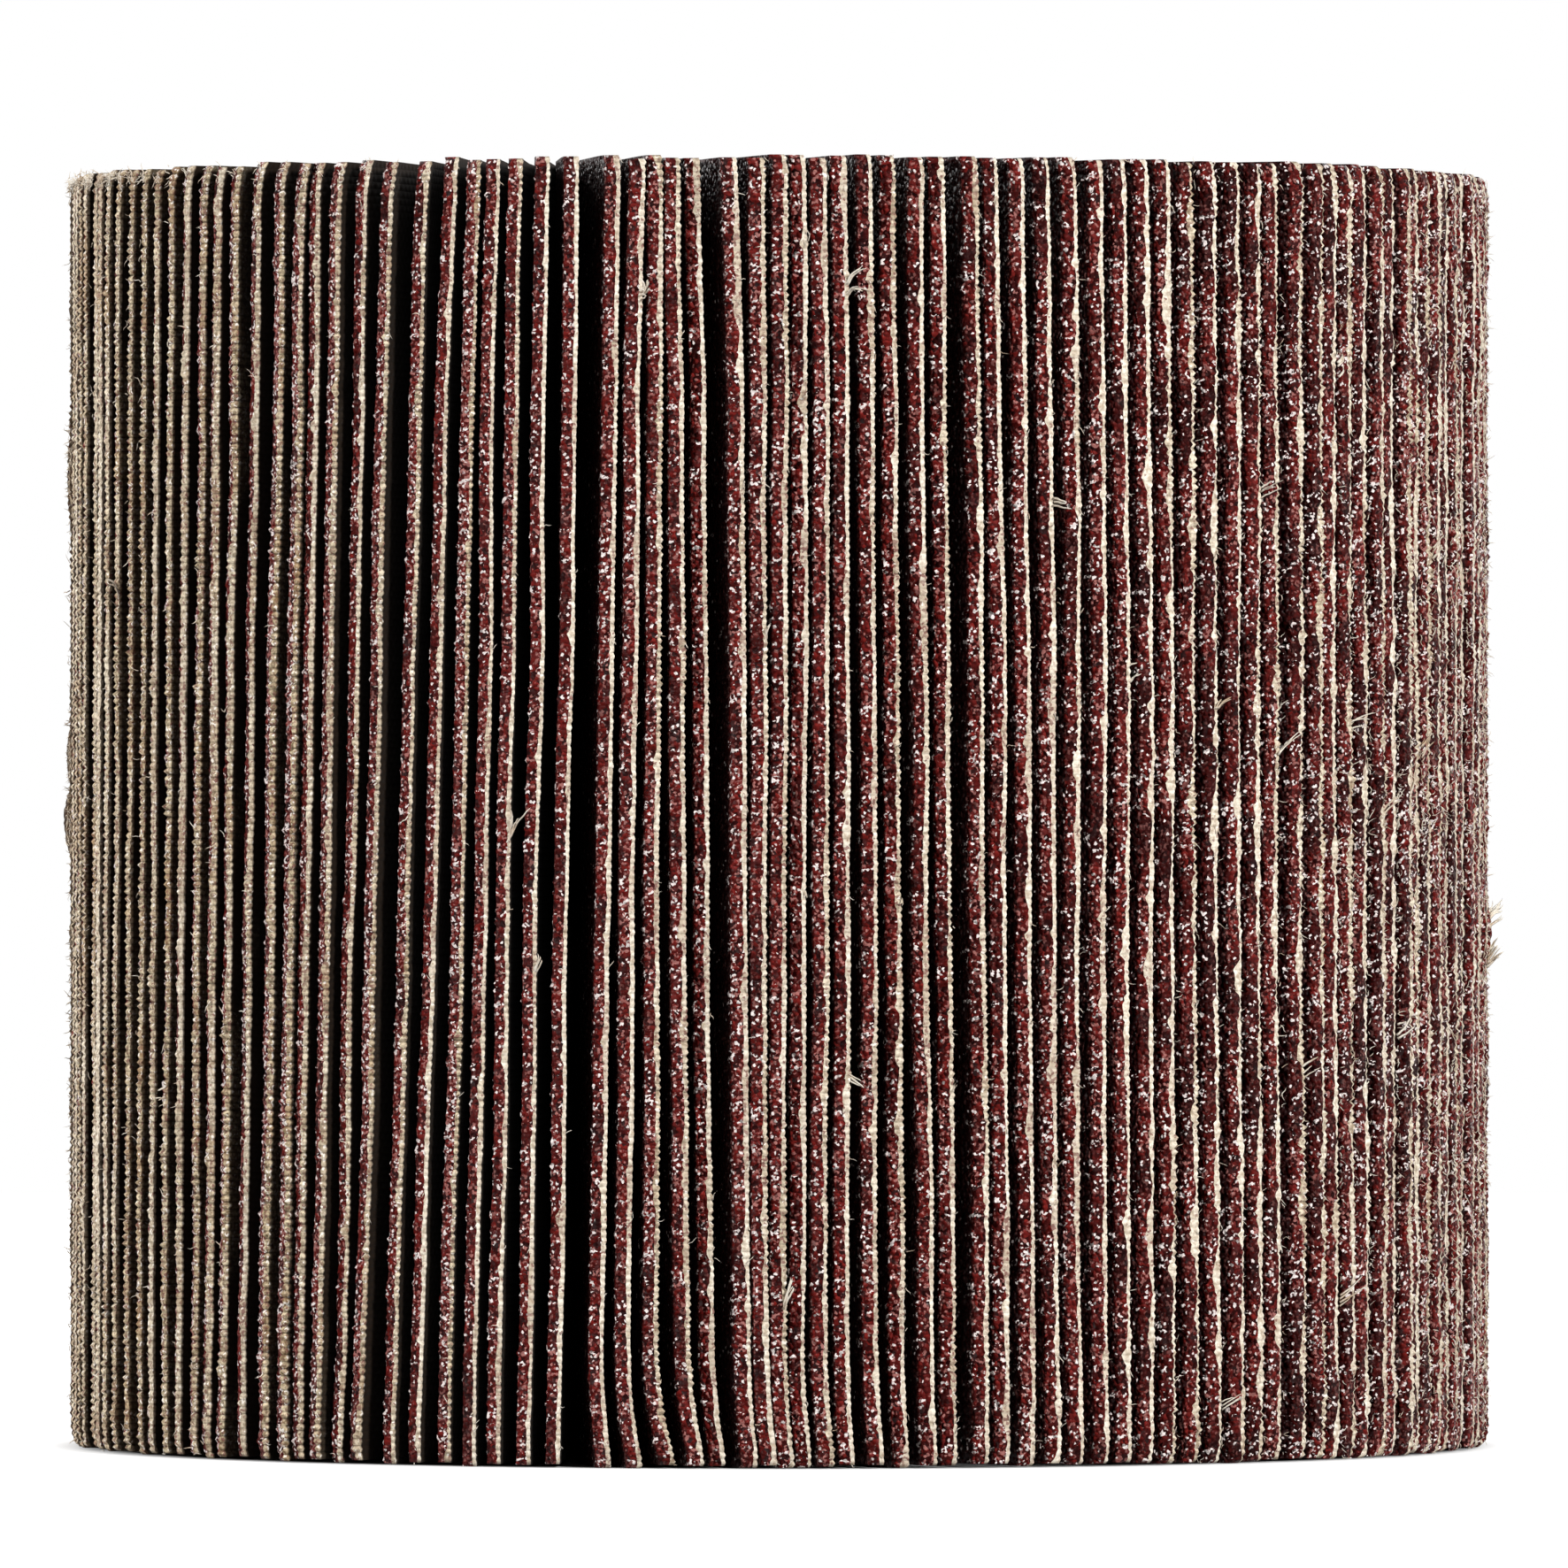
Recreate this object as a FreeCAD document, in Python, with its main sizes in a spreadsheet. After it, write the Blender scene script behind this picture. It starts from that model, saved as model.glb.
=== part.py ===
import FreeCAD, Part
import Sketcher
import math
import os

# A drum flap wheel standing on one end, with its axis along Z.
# Flaps of coated cloth are cast by their roots in a resin core, which is
# bonded round a moulded sleeve with a keyed bore.
# The origin is on the axis, in the plane of the lower flap ends.

doc = FreeCAD.newDocument("FlapWheel")

# Driving dimensions, in millimetres, and plain counts
DIMENSIONS = [
    ("wheel_diameter", "112", "over the flap tips"),
    ("wheel_width", "100", "length of each flap along the axis"),
    ("flap_count", "168", "flaps round the core"),
    ("flap_thickness", "1.1", "cloth with its grain"),
    ("flap_lean", "28", "degrees by which a flap bends back from its root"),
    ("flap_bend_radius", "9", "of the bend over the root"),
    ("flap_root_gap", "0.05", "resin between neighbouring roots"),
    ("flap_root_depth", "2.5", "length of flap held in the resin"),
    ("sleeve_diameter", "50", "outside of the sleeve, inside of the core"),
    ("sleeve_recess", "1", "sleeve face below the flap ends"),
    ("bore_diameter", "19", "hole for the driving shaft"),
    ("bore_edge", "1", "chamfer at each mouth of the bore"),
    ("key_count", "4", "keyways round the bore"),
    ("key_width", "3", "width of a keyway"),
    ("key_depth", "2", "depth of a keyway past the bore wall"),
]

sizes = doc.addObject("Spreadsheet::Sheet", "Sizes")
for row, (alias, number, note) in enumerate(DIMENSIONS, start=1):
    sizes.set("A%d" % row, alias)
    sizes.set("B%d" % row, number)
    sizes.set("C%d" % row, note)
    sizes.setAlias("B%d" % row, alias)
doc.recompute()


def size(alias):
    return float(sizes.get(alias))


def origin_plane(body, role):
    for feature in body.Origin.OriginFeatures:
        if feature.Role == role:
            return feature
    raise RuntimeError("no plane " + role)


def new_sketch(body, name, role):
    sketch = body.newObject("Sketcher::SketchObject", name)
    sketch.AttachmentSupport = [(origin_plane(body, role), "")]
    sketch.MapMode = "FlatFace"
    return sketch


def fix(sketch, name, expression, *constraint):
    index = sketch.addConstraint(Sketcher.Constraint(*constraint))
    sketch.renameConstraint(index, name)
    sketch.setExpression("Constraints." + name, expression)


def closed_lines(sketch, corners):
    points = [FreeCAD.Vector(x, y, 0) for x, y in corners]
    count = len(points)
    for i in range(count):
        line = Part.LineSegment(points[i], points[(i + 1) % count])
        sketch.addGeometry(line, False)
    for i in range(count):
        joint = Sketcher.Constraint("Coincident", i, END, (i + 1) % count, START)
        sketch.addConstraint(joint)


def changed(before, after, grows):
    step = after.Shape.Volume - before.Shape.Volume
    if (step > 0) != grows:
        raise RuntimeError(after.Name + " did not change the solid as meant")


# Sketch references: a line's or arc's ends, an arc's centre, the axis and the origin
START, END, CENTRE = range(1, 4)
VERTICAL_AXIS, HORIZONTAL_AXIS = range(-2, 0)
ORIGIN = (HORIZONTAL_AXIS, START)

# Moulded sleeve: a turned section with a chamfer at each mouth of the bore
sleeve = doc.addObject("PartDesign::Body", "HubSleeve")
sleeve.Label = "hub_sleeve"
doc.recompute()

bore_r = size("bore_diameter") / 2
sleeve_r = size("sleeve_diameter") / 2
low = size("sleeve_recess")
high = size("wheel_width") - low
mouth = size("bore_edge")

section = new_sketch(sleeve, "SleeveSection", "XZ_Plane")
closed_lines(
    section,
    [
        (bore_r + mouth, low),
        (sleeve_r, low),
        (sleeve_r, high),
        (bore_r + mouth, high),
        (bore_r, high - mouth),
        (bore_r, low + mouth),
    ],
)
LOWER_FACE, OUTSIDE, UPPER_FACE, UPPER_MOUTH, WALL, LOWER_MOUTH = range(6)
for face in (LOWER_FACE, UPPER_FACE):
    section.addConstraint(Sketcher.Constraint("Horizontal", face))
for wall in (OUTSIDE, WALL):
    section.addConstraint(Sketcher.Constraint("Vertical", wall))
fix(section, "bore_r", "Sizes.bore_diameter / 2", "DistanceX", *ORIGIN, WALL, START, bore_r)
fix(section, "sleeve_r", "Sizes.sleeve_diameter / 2", "DistanceX", *ORIGIN, OUTSIDE, START, sleeve_r)
fix(section, "low", "Sizes.sleeve_recess", "DistanceY", *ORIGIN, LOWER_FACE, START, low)
fix(
    section,
    "length",
    "Sizes.wheel_width - 2 * Sizes.sleeve_recess",
    "DistanceY",
    LOWER_FACE,
    START,
    UPPER_FACE,
    END,
    high - low,
)
fix(section, "mouth_low_x", "Sizes.bore_edge", "DistanceX", LOWER_MOUTH, START, LOWER_MOUTH, END, mouth)
fix(section, "mouth_low_z", "Sizes.bore_edge", "DistanceY", LOWER_MOUTH, END, LOWER_MOUTH, START, mouth)
fix(section, "mouth_high_x", "Sizes.bore_edge", "DistanceX", UPPER_MOUTH, END, UPPER_MOUTH, START, mouth)
fix(section, "mouth_high_z", "Sizes.bore_edge", "DistanceY", UPPER_MOUTH, END, UPPER_MOUTH, START, mouth)

turned = sleeve.newObject("PartDesign::Revolution", "SleeveBlank")
turned.Profile = section
turned.ReferenceAxis = (section, ["V_Axis"])
turned.Angle = 360
doc.recompute()

# Keyways: one slot from the bore wall, repeated round the axis
key_half = size("key_width") / 2
key_reach = bore_r + size("key_depth")

slot = new_sketch(sleeve, "KeywaySection", "XY_Plane")
closed_lines(
    slot,
    [(0, -key_half), (key_reach, -key_half), (key_reach, key_half), (0, key_half)],
)
SIDE_A, FLOOR, SIDE_B, AXIS_SIDE = range(4)
for side in (SIDE_A, SIDE_B):
    slot.addConstraint(Sketcher.Constraint("Horizontal", side))
slot.addConstraint(Sketcher.Constraint("Vertical", FLOOR))
slot.addConstraint(Sketcher.Constraint("PointOnObject", AXIS_SIDE, START, VERTICAL_AXIS))
slot.addConstraint(
    Sketcher.Constraint("Symmetric", AXIS_SIDE, START, AXIS_SIDE, END, *ORIGIN)
)
fix(slot, "width", "Sizes.key_width", "DistanceY", FLOOR, START, FLOOR, END, 2 * key_half)
fix(
    slot,
    "reach",
    "Sizes.bore_diameter / 2 + Sizes.key_depth",
    "DistanceX",
    *ORIGIN,
    FLOOR,
    START,
    key_reach,
)

keyway = sleeve.newObject("PartDesign::Pocket", "Keyway")
keyway.Profile = slot
keyway.Type = "ThroughAll"
keyway.Reversed = True
doc.recompute()
changed(turned, keyway, grows=False)

keyways = sleeve.newObject("PartDesign::PolarPattern", "Keyways")
keyways.Originals = [keyway]
keyways.Axis = (slot, ["N_Axis"])
keyways.Angle = 360
keyways.setExpression("Occurrences", "Sizes.key_count")
sleeve.Tip = keyways
doc.recompute()
changed(keyway, keyways, grows=False)

# Flap pack: the resin core and the flaps that are cast in it
pack = doc.addObject("PartDesign::Body", "FlapPack")
pack.Label = "flap_pack"
doc.recompute()

# The roots stand side by side, so their number and thickness set their circle
root_pitch = size("flap_thickness") + size("flap_root_gap")
root_r = size("flap_count") * root_pitch / (2 * math.pi)
ROOT_R = "Sizes.flap_count * (Sizes.flap_thickness + Sizes.flap_root_gap) / (2 * pi)"
core_r = root_r + size("flap_root_depth")
CORE_R = ROOT_R + " + Sizes.flap_root_depth"
width = size("wheel_width")

ring = new_sketch(pack, "CoreSection", "XZ_Plane")
closed_lines(
    ring,
    [(sleeve_r, 0), (core_r, 0), (core_r, width), (sleeve_r, width)],
)
BOTTOM, OUTER, TOP, INNER = range(4)
for side in (BOTTOM, TOP):
    ring.addConstraint(Sketcher.Constraint("Horizontal", side))
for side in (OUTER, INNER):
    ring.addConstraint(Sketcher.Constraint("Vertical", side))
fix(ring, "inner_r", "Sizes.sleeve_diameter / 2", "DistanceX", *ORIGIN, BOTTOM, START, sleeve_r)
fix(ring, "core_r", CORE_R, "DistanceX", *ORIGIN, OUTER, START, core_r)
ring.addConstraint(Sketcher.Constraint("PointOnObject", BOTTOM, START, HORIZONTAL_AXIS))
fix(ring, "length", "Sizes.wheel_width", "DistanceY", OUTER, START, OUTER, END, width)

core = pack.newObject("PartDesign::Revolution", "ResinCore")
core.Profile = ring
core.ReferenceAxis = (ring, ["V_Axis"])
core.Angle = 360
doc.recompute()

# One flap seen along the axis: it stands square in the resin, bends back over
# its root, runs straight, and ends on the circle to which the wheel is dressed
rim_r = size("wheel_diameter") / 2
bend_r = size("flap_bend_radius")
lean = math.radians(size("flap_lean"))
half_flap = size("flap_thickness") / 2
hollow_r = bend_r - half_flap
crown_r = bend_r + half_flap
bend_centre = FreeCAD.Vector(root_r, bend_r, 0)
upward = FreeCAD.Vector(0, 0, 1)
outward = FreeCAD.Vector(math.cos(lean), math.sin(lean), 0)
inward = FreeCAD.Vector(math.sin(lean), -math.cos(lean), 0)
down = -math.pi / 2


def root(face_r):
    return bend_centre + FreeCAD.Vector(0, -face_r, 0)


def bend_end(face_r):
    return bend_centre + inward * face_r


def tip(face_r):
    start = bend_end(face_r)
    along = start.dot(outward)
    return start + outward * (math.sqrt(along**2 + rim_r**2 - start.Length**2) - along)


flap_sketch = new_sketch(pack, "FlapSection", "XY_Plane")
for face_r in (hollow_r, crown_r):
    circle = Part.Circle(bend_centre, upward, face_r)
    flap_sketch.addGeometry(Part.ArcOfCircle(circle, down, down + lean), False)
    flap_sketch.addGeometry(Part.LineSegment(bend_end(face_r), tip(face_r)), False)
flap_sketch.addGeometry(Part.LineSegment(tip(hollow_r), tip(crown_r)), False)
flap_sketch.addGeometry(Part.LineSegment(root(hollow_r), root(crown_r)), False)
flap_sketch.addGeometry(Part.Circle(FreeCAD.Vector(), upward, rim_r), True)
HOLLOW, HOLLOW_FACE, CROWN, CROWN_FACE, TIP, ROOT, RIM = range(7)
for first, second in (
    ((HOLLOW, START), (ROOT, START)),
    ((CROWN, START), (ROOT, END)),
    ((HOLLOW_FACE, END), (TIP, START)),
    ((CROWN_FACE, END), (TIP, END)),
    ((HOLLOW, CENTRE), (CROWN, CENTRE)),
    ((RIM, CENTRE), ORIGIN),
):
    flap_sketch.addConstraint(Sketcher.Constraint("Coincident", *first, *second))
for arc, straight in ((HOLLOW, HOLLOW_FACE), (CROWN, CROWN_FACE)):
    flap_sketch.addConstraint(Sketcher.Constraint("Tangent", arc, END, straight, START))
for corner in (START, END):
    flap_sketch.addConstraint(Sketcher.Constraint("PointOnObject", TIP, corner, RIM))
flap_sketch.addConstraint(Sketcher.Constraint("Vertical", ROOT))
flap_sketch.addConstraint(Sketcher.Constraint("Vertical", ROOT, START, HOLLOW, CENTRE))
fix(flap_sketch, "rim_r", "Sizes.wheel_diameter / 2", "Radius", RIM, rim_r)
fix(
    flap_sketch,
    "hollow_r",
    "Sizes.flap_bend_radius - Sizes.flap_thickness / 2",
    "Radius",
    HOLLOW,
    hollow_r,
)
fix(
    flap_sketch,
    "crown_r",
    "Sizes.flap_bend_radius + Sizes.flap_thickness / 2",
    "Radius",
    CROWN,
    crown_r,
)
fix(flap_sketch, "root_r", ROOT_R, "DistanceX", *ORIGIN, HOLLOW, CENTRE, root_r)
fix(flap_sketch, "bend_y", "Sizes.flap_bend_radius", "DistanceY", *ORIGIN, HOLLOW, CENTRE, bend_r)
for straight, name in ((HOLLOW_FACE, "hollow_lean"), (CROWN_FACE, "crown_lean")):
    fix(flap_sketch, name, "Sizes.flap_lean * 1 deg", "Angle", straight, lean)

flap = pack.newObject("PartDesign::Pad", "Flap")
flap.Profile = flap_sketch
flap.setExpression("Length", "Sizes.wheel_width")
doc.recompute()
changed(core, flap, grows=True)

flaps = pack.newObject("PartDesign::PolarPattern", "Flaps")
flaps.Originals = [flap]
flaps.Axis = (flap_sketch, ["N_Axis"])
flaps.Angle = 360
flaps.setExpression("Occurrences", "Sizes.flap_count")
pack.Tip = flaps
doc.recompute()
changed(flap, flaps, grows=True)

# Nothing is written unless every object and solid is sound
pieces = [sleeve, pack]
for item in doc.Objects:
    if "Invalid" in item.State or "Error" in item.State:
        raise RuntimeError(item.Name + " failed")
for piece in pieces:
    if piece.Shape.isNull() or not piece.Shape.isValid() or len(piece.Shape.Solids) != 1:
        raise RuntimeError(piece.Label + " is not one sound solid")

os.makedirs("parts", exist_ok=True)
for piece in pieces:
    piece.Shape.exportStep(os.path.join("parts", piece.Label + ".step"))
    print(piece.Label, "volume", round(piece.Shape.Volume), "mm3")
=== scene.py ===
import math

import bpy
import numpy as np
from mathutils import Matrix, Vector


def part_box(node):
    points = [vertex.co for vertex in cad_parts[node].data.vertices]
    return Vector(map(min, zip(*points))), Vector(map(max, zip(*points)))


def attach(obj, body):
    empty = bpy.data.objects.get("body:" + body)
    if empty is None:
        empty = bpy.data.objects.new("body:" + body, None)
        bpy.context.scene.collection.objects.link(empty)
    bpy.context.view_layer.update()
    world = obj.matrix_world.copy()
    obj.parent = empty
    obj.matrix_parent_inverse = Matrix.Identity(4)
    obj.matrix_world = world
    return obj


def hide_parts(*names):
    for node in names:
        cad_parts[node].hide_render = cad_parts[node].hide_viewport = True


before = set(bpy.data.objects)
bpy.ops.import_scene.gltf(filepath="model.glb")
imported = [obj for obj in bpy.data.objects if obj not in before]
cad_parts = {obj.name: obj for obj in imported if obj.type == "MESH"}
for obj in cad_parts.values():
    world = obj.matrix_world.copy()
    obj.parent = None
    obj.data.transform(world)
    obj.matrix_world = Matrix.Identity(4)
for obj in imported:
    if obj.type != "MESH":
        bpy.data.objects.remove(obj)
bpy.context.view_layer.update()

# Lengths are in millimetres up to the point where a mesh, a material or a lamp is made
MM = 0.001

# The wheel, as its solids have it
pack_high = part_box("flap_pack")[1]
sleeve_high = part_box("hub_sleeve")[1]
WHEEL_R = pack_high.x / MM
WHEEL_WIDTH = pack_high.z / MM
SLEEVE_R = sleeve_high.x / MM
FLAP_COUNT = 168
FLAP_THICK = 1.1
FLAP_LEAN = math.radians(28)
BEND_R = 9
ROOT_GAP = 0.05
ROOT_DEPTH = 2.5
ROOT_R = FLAP_COUNT * (FLAP_THICK + ROOT_GAP) / (2 * math.pi)
CORE_R = ROOT_R + ROOT_DEPTH
FLAP_STEP = 2 * math.pi / FLAP_COUNT
SECTOR_COUNT = 14
FLAPS_PER_SECTOR = FLAP_COUNT // SECTOR_COUNT

# The cloth: two rows of mesh to each yarn along a flap, and larger panels below the tip
YARN_COUNT = 182
YARN_PITCH = WHEEL_WIDTH / YARN_COUNT
ROW_COUNT = 2 * YARN_COUNT + 1
ROWS_PER_PANEL = 28
# Offset of the line between grain and cloth from the flap's middle
CLOTH_STARTS = 0.1
# How far short of the wheel's two ends a flap stops
END_STAGGER = (0.02, 0.35)

# The camera looks level at the middle of the wheel. Places in its picture are in pixels.
PHOTO_SIDE = 1772
SENSOR = 36
VIEW_DISTANCE = 27 * WHEEL_R
RIM_HALF_PX = 802.5
AXIS_PX = 879.5
MIDDLE_PX = 917

# Azimuths of flap tips are counted from the camera's side, to the right
FRONT = -math.pi / 2


def eased(places):
    """The whole step below each place, and the eased share of the way to the next."""
    low = np.floor(places).astype(int)
    part = places - low
    return low, part * part * (3 - 2 * part)


def soft_noise(seed, flap_step, row_step):
    """Smooth noise from -1 to 1 by flap and row, with bumps of about those steps.

    It joins up round the wheel."""
    down = max(2, round(FLAP_COUNT / flap_step))
    along = max(2, round(ROW_COUNT / row_step)) + 2
    coarse = np.random.default_rng(seed).uniform(-1, 1, (down, along))
    low, part = eased(np.arange(FLAP_COUNT) * down / FLAP_COUNT)
    part = part[:, None]
    bands = coarse[low % down] * (1 - part) + coarse[(low + 1) % down] * part
    low, part = eased(np.linspace(0, along - 1.001, ROW_COUNT))
    return bands[:, low] * (1 - part) + bands[:, low + 1] * part


def follow(places, knots):
    """A value read off a line through knots of (place, value)."""
    at, values = zip(*knots)
    return np.interp(places, at, values)


def wrapped(degrees):
    """Angles in degrees, brought to between -180 and 180."""
    return (degrees + 180) % 360 - 180


# How the tips lie, by azimuth in degrees: their lead over an even spacing in
# degrees, and how far they drift round from the top end to the bottom, in
# millimetres. The far side has made-up values of the same size.
TIP_LEAD = (
    (-180, 0.3), (-150, -0.6), (-120, 0.5), (-96, -0.6),
    (-74, -2.6), (-62, -1.9), (-52, -1.2), (-47.5, -1.8), (-43.5, -0.5), (-41, -0.5),
    (-39, -1.3), (-33, -0.8), (-31, 0.1), (-27, 0.8), (-22, 0.5), (-18.1, 1.1),
    (-15.9, 2.4), (-7.3, 1.4), (-5.2, 2.2), (5.5, -0.5), (12, -0.6), (14, -0.9),
    (16.2, -0.4), (18, -0.8), (31, -1.0), (44, -0.9), (46.2, -0.5), (50.5, -0.1),
    (53, -0.6), (75, -0.2), (100, 0.5), (112, -0.8), (138, 0.9), (150, -0.4), (180, 0.3),
)
TIP_DRIFT = (
    (-180, 0.4), (-130, 0.6), (-90, -0.5),
    (-56, -1.2), (-46, -1.7), (-37, -2.1), (-29, -2.85), (-24.5, -1.75), (-16, -1.3),
    (-12.5, -0.6), (-9, 0.85), (-5, 0.85), (-2, -0.3), (6, 0.1), (9, 0.6), (22, 0.9),
    (25, 0.4), (40, 0.4), (90, 0.1), (120, -1.2), (150, 0.8), (180, 0.4),
)
DRIFT_SPAN = 90
# The last stretch at each end turns further: its azimuths and its reach in millimetres
BOTTOM_FLICK = ((-17, 0), (-15.9, 0.9), (-12, 1.5), (-5, 0.8), (10, 0.5), (17, 0))
BOTTOM_FLICK_LENGTH = 10
TOP_FLICK = ((-60, 0), (-52, 0.4), (-32, 0.5), (-27, 0))
TOP_FLICK_LENGTH = 4
# How unevenly the tips wander: seed, reach in millimetres, and size of the bends in
# flaps and in rows. The second list counts in full only where the cloth has gone tan.
WANDER = ((1, 0.16, 3, 90), (2, 0.07, 1, 36), (3, 0.03, 1, 6))
SLACK_WANDER = ((4, 0.16, 1, 50), (6, 0.07, 1, 5))
# Tips that lie closer than this step are pushed apart, a little each round
LEAST_STEP = math.radians(1.36)
PUSH_ROUNDS = 60

# Where the cloth starts across a tip, in millimetres from its middle: frayed cotton
# covers most of the grain on one side of the wheel
CLOTH_FROM = (
    (-180, 0.2), (-115, 0.1), (-90, -0.42), (-74, -0.38), (-66, -0.22), (-58, -0.1),
    (-50, 0.03), (-43, 0.14), (-32, 0.24), (-23, 0.26), (-10, 0.22), (26, 0.24), (36, 0.29),
    (54, 0.3), (66, 0.22), (76, 0.08), (88, -0.05), (110, 0.1), (130, 0.2), (180, 0.2),
)
# How ragged the cut cloth is, from 0 for a clean cut to about 1
RAGGED = (
    (-180, 0.45), (-110, 0.4), (-90, 0.3), (-60, 0.4), (-35, 0.35), (-15, 0.25), (20, 0.35),
    (32, 0.6), (50, 0.9), (62, 1.1), (90, 1.2), (120, 0.6), (180, 0.45),
)
# How far the cotton has gone tan, from 0 to 1
TANNED = (
    (-180, 0.4), (-100, 0.55), (-85, 0.7), (-50, 0.85), (-35, 0.6), (-22, 0.35), (-8, 0.12),
    (15, 0.1), (32, 0.12), (50, 0.18), (70, 0.3), (90, 0.42), (130, 0.3), (180, 0.4),
)
# How much less worn the grain is, from 0 to 1
KEPT_GRAIN = (
    (-180, 0.1), (-20, 0), (20, 0.1), (34, 0.6), (60, 0.7), (70, 0.4), (82, 0), (180, 0.1),
)
# How far the grain's corner is rounded off, in millimetres
SLIMMED = ((-180, 0.03), (-74, 0), (-64, 0.11), (-38, 0.11), (-20, 0), (180, 0.03))
# Where cloth has swelled out past the rim: azimuth, height, half its width in degrees
# and in millimetres, and reach in millimetres
SWELLS = (
    (-90, 76.3, 4, 2.9, 0.75),
    (-91, 54.4, 4, 2.0, 0.85),
    (-90, 49.2, 4, 2.3, 1.35),
    (86, 40.5, 5, 2.6, 0.6),
    (80, 88.0, 6, 4.0, 0.25),
    (85, 14.0, 6, 5.0, 0.3),
)

root_angles = np.arange(FLAP_COUNT) * FLAP_STEP
dice = np.random.default_rng(seed=168)
flap_foot = dice.uniform(*END_STAGGER, FLAP_COUNT)
flap_head = WHEEL_WIDTH - dice.uniform(*END_STAGGER, FLAP_COUNT)
row_share = np.linspace(0, 1, ROW_COUNT)
row_heights = flap_foot[:, None] + (flap_head - flap_foot)[:, None] * row_share


def on_flap(depth, across):
    """A place on the first flap: depth below the tip and offset to its cloth side.

    Gives x, y and the share of the flap's length from its root, which cloth that
    stands out past the tip takes a little over 1."""
    face_r = BEND_R - across
    start_x = ROOT_R + math.sin(FLAP_LEAN) * face_r
    start_y = BEND_R - math.cos(FLAP_LEAN) * face_r
    out_x, out_y = math.cos(FLAP_LEAN), math.sin(FLAP_LEAN)
    along = start_x * out_x + start_y * out_y
    reach = np.sqrt(along**2 + WHEEL_R**2 - start_x**2 - start_y**2) - along
    run = reach - depth
    turned = np.clip(FLAP_LEAN + np.minimum(run, 0) / face_r, 0, FLAP_LEAN)
    x = ROOT_R + np.sin(turned) * face_r + np.maximum(run, 0) * out_x
    y = BEND_R - np.cos(turned) * face_r + np.maximum(run, 0) * out_y
    length = reach + face_r * FLAP_LEAN
    share = np.clip((length - depth) / length, 0, 1.02)
    return x, y, share


def tip_azimuths():
    """Where each flap's tip would be with even spacing, in degrees from the front."""
    x, y, _ = on_flap(0, 0)
    return wrapped(np.degrees(root_angles + math.atan2(y, x) - FRONT))


def tip_turns():
    """How far each tip is turned from its even place, by flap and row, in radians."""
    azimuth = tip_azimuths()
    per_mm = 1 / WHEEL_R

    def end_turn(knots, from_end, length):
        """The further turn of the last stretch at one end."""
        near_end = np.clip(1 - from_end / length, 0, 1) ** 2
        return (follow(azimuth, knots) * per_mm)[:, None] * near_end

    turn = np.radians(follow(azimuth, TIP_LEAD))[:, None] * np.ones(ROW_COUNT)
    drift = follow(azimuth, TIP_DRIFT) * per_mm
    turn += drift[:, None] * (WHEEL_WIDTH / 2 - row_heights) / DRIFT_SPAN
    turn += end_turn(BOTTOM_FLICK, row_heights, BOTTOM_FLICK_LENGTH)
    turn += end_turn(TOP_FLICK, WHEEL_WIDTH - row_heights, TOP_FLICK_LENGTH)
    for seed, reach, flap_step, row_step in WANDER:
        turn += reach * per_mm * soft_noise(seed, flap_step, row_step)
    slack = follow(azimuth, TANNED)[:, None] * per_mm
    for seed, reach, flap_step, row_step in SLACK_WANDER:
        turn += reach * slack * soft_noise(seed, flap_step, row_step)
    for _ in range(PUSH_ROUNDS):
        short = LEAST_STEP - (FLAP_STEP + np.roll(turn, -1, axis=0) - turn)
        push = np.clip(short, 0, None) / 2
        turn += np.roll(push, 1, axis=0) - push
    return turn


# How far each tip is turned, and the azimuth it then lies at, by flap and row
turns = tip_turns()
lying = wrapped(tip_azimuths()[:, None] + np.degrees(turns))


def to_wheel(flap, row, depth, across):
    """Places on given flaps at given rows, as points in metres."""
    x, y, share = on_flap(depth, across)
    angle = root_angles[flap] + turns[flap, row] * share**2
    height = row_heights[flap, row] + 0 * share
    points = (
        x * np.cos(angle) - y * np.sin(angle),
        x * np.sin(angle) + y * np.cos(angle),
        height + 0 * angle,
    )
    return np.stack(points, -1) * MM


def new_piece(name, points, faces, face_finish, finishes, sharp):
    """A mesh piece that stands for the flap pack and rides with it.

    Edges that turn by more than sharp degrees stay crisp, and none does where it is 0."""
    mesh = bpy.data.meshes.new(name)
    mesh.from_pydata(points.tolist(), [], faces)
    for finish in finishes:
        mesh.materials.append(finish)
    mesh.polygons.foreach_set("material_index", np.asarray(face_finish, np.int32))
    mesh.polygons.foreach_set("use_smooth", np.ones(len(mesh.polygons), bool))
    if sharp:
        mesh.set_sharp_from_angle(angle=math.radians(sharp))
    mesh.validate()
    piece = bpy.data.objects.new(name, mesh)
    bpy.context.scene.collection.objects.link(piece)
    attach(piece, "root")
    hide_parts("flap_pack")
    return piece


def write_layer(mesh, name, values):
    """Keeps numbers with a mesh's points, for its materials to read."""
    kind = "FLOAT_VECTOR" if values.ndim == 2 else "FLOAT"
    layer = mesh.attributes.new(name, kind, "POINT")
    key = "vector" if values.ndim == 2 else "value"
    layer.data.foreach_set(key, values.astype(np.float32).ravel())


# Material nodes


def feed(tree, socket, value):
    """Gives an input a number or colour, or links another node's output to it."""
    if isinstance(value, bpy.types.NodeSocket):
        tree.links.new(value, socket)
    else:
        socket.default_value = value


def feed_named(tree, node, **inputs):
    """Feeds a node's inputs by their names, with an underscore for each space."""
    for name, value in inputs.items():
        feed(tree, node.inputs[name.replace("_", " ")], value)


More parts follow.
